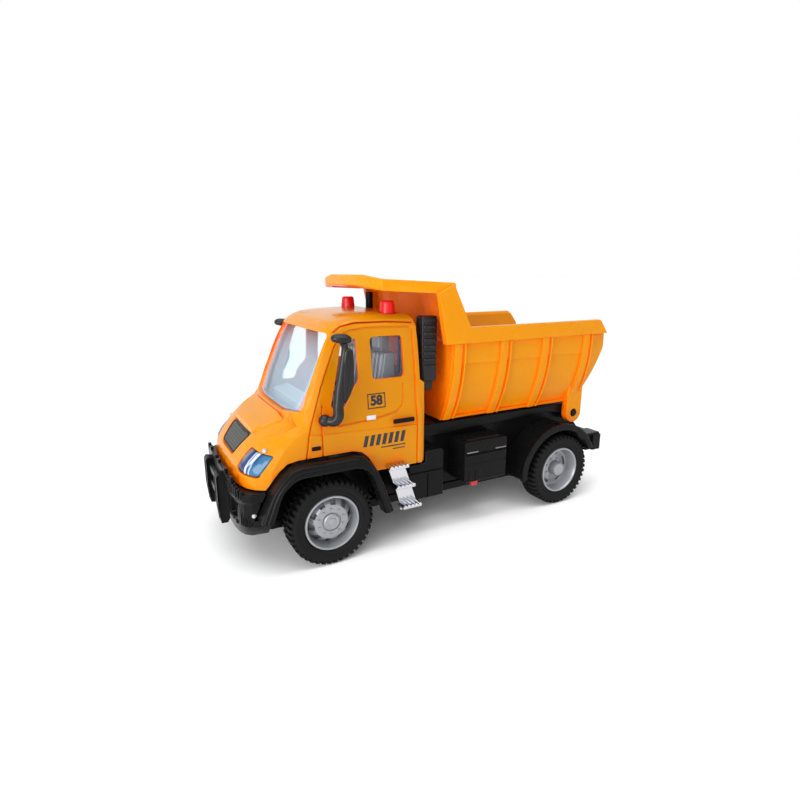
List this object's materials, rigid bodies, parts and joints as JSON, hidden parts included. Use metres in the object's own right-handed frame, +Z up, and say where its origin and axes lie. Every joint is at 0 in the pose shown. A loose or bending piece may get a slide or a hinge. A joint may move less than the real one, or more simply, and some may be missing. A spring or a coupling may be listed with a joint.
{
  "type": "toy dump truck",
  "caption": "Toy dump truck: a forward-nosed cab and a ribbed tipping bed with a canopy over the roof, on a frame with turning wheels and a power slide switch.",
  "frame": {"origin": "on the ground, under the middle of the truck's outer box", "axes": "+Z up, -Y towards the front of the truck, +X to the truck's left side"},
  "size_m": [0.0494, 0.1138, 0.0671],
  "materials": {
    "cab_paint": "gloss orange-yellow enamel on die-cast metal",
    "bed_plastic": "satin orange-yellow moulded plastic",
    "black_plastic": "satin black moulded plastic",
    "tyre_rubber": "matt black soft rubber",
    "silver_plastic": "silver-grey moulded plastic",
    "chrome_plating": "bright chrome plating on plastic",
    "clear_plastic": "clear plastic with a blue tint",
    "red_lens": "clear red plastic",
    "lamp_lens": "blue-tinted clear plastic over bright plating",
    "grille_grey": "dark grey printed mesh",
    "steel": "plain steel",
    "red_plastic": "red moulded plastic",
    "gear_plastic": "natural white moulded plastic",
    "board_green": "green printed board",
    "cell_wrap": "blue sleeve"
  },
  "bodies": {
    "chassis": {"chassis_frame": "black_plastic", "base_plate": "black_plastic", "base_screw_1": "steel", "base_screw_2": "steel", "base_screw_3": "steel", "base_screw_4": "steel", "hinge_pin": "black_plastic", "drive_motor": "steel", "battery": "cell_wrap", "front_fender_left": "black_plastic", "front_fender_right": "black_plastic", "rear_fender_left": "black_plastic", "rear_fender_right": "black_plastic", "front_bumper": "black_plastic", "bull_bar": "black_plastic", "rear_bumper": "black_plastic", "cab_shell": "cab_paint", "glazing": "clear_plastic", "grille": "grille_grey", "headlamp_left": "lamp_lens", "headlamp_right": "lamp_lens", "beacon_left": "red_lens", "beacon_right": "red_lens", "cab_floor": "silver_plastic", "seat_left": "chrome_plating", "seat_right": "chrome_plating", "steering_wheel": "black_plastic", "door_handle_left": "black_plastic", "door_handle_right": "black_plastic", "mirror_left": "black_plastic", "mirror_right": "black_plastic", "intake_stack": "black_plastic", "exhaust_stack": "black_plastic", "side_tank_left": "black_plastic", "side_tank_right": "black_plastic", "tool_box_left": "black_plastic", "tool_box_right": "black_plastic", "step_left": "chrome_plating", "step_right": "chrome_plating", "circuit_board": "board_green"},
    "front_wheels": {"front_axle": "steel", "front_rim_left": "silver_plastic", "front_rim_right": "silver_plastic", "front_tyre_left": "tyre_rubber", "front_tyre_right": "tyre_rubber"},
    "rear_wheels": {"rear_axle": "steel", "rear_rim_left": "silver_plastic", "rear_rim_right": "silver_plastic", "rear_tyre_left": "tyre_rubber", "rear_tyre_right": "tyre_rubber", "axle_gear": "gear_plastic"},
    "pinion": {"motor_pinion": "steel"},
    "bed": {"dump_bed": "bed_plastic"},
    "switch": {"power_switch": "red_plastic"}
  },
  "joints": [
    {"name": "front_axle_spin", "type": "hinge", "parent": "chassis", "child": "front_wheels", "pos_m": [0, -0.03375, 0.01045], "axis": [1, 0, 0], "continuous": true},
    {"name": "rear_axle_spin", "type": "hinge", "parent": "chassis", "child": "rear_wheels", "pos_m": [0, 0.03825, 0.01045], "axis": [1, 0, 0], "continuous": true},
    {"name": "motor_pinion_spin", "type": "hinge", "parent": "chassis", "child": "pinion", "pos_m": [0.0048, 0.03397, 0.01465], "axis": [1, 0, 0], "continuous": true},
    {"name": "bed_tip", "type": "hinge", "parent": "chassis", "child": "bed", "pos_m": [0, 0.04685, 0.02595], "axis": [-1, 0, 0], "range_deg": [0, 50]},
    {"name": "power_switch_slide", "type": "slide", "parent": "chassis", "child": "switch", "axis": [0, 1, 0], "range_m": [0, 0.002]}
  ],
  "couplings": [
    {"joint": "motor_pinion_spin", "follows": "rear_axle_spin", "ratio": -2}
  ]
}
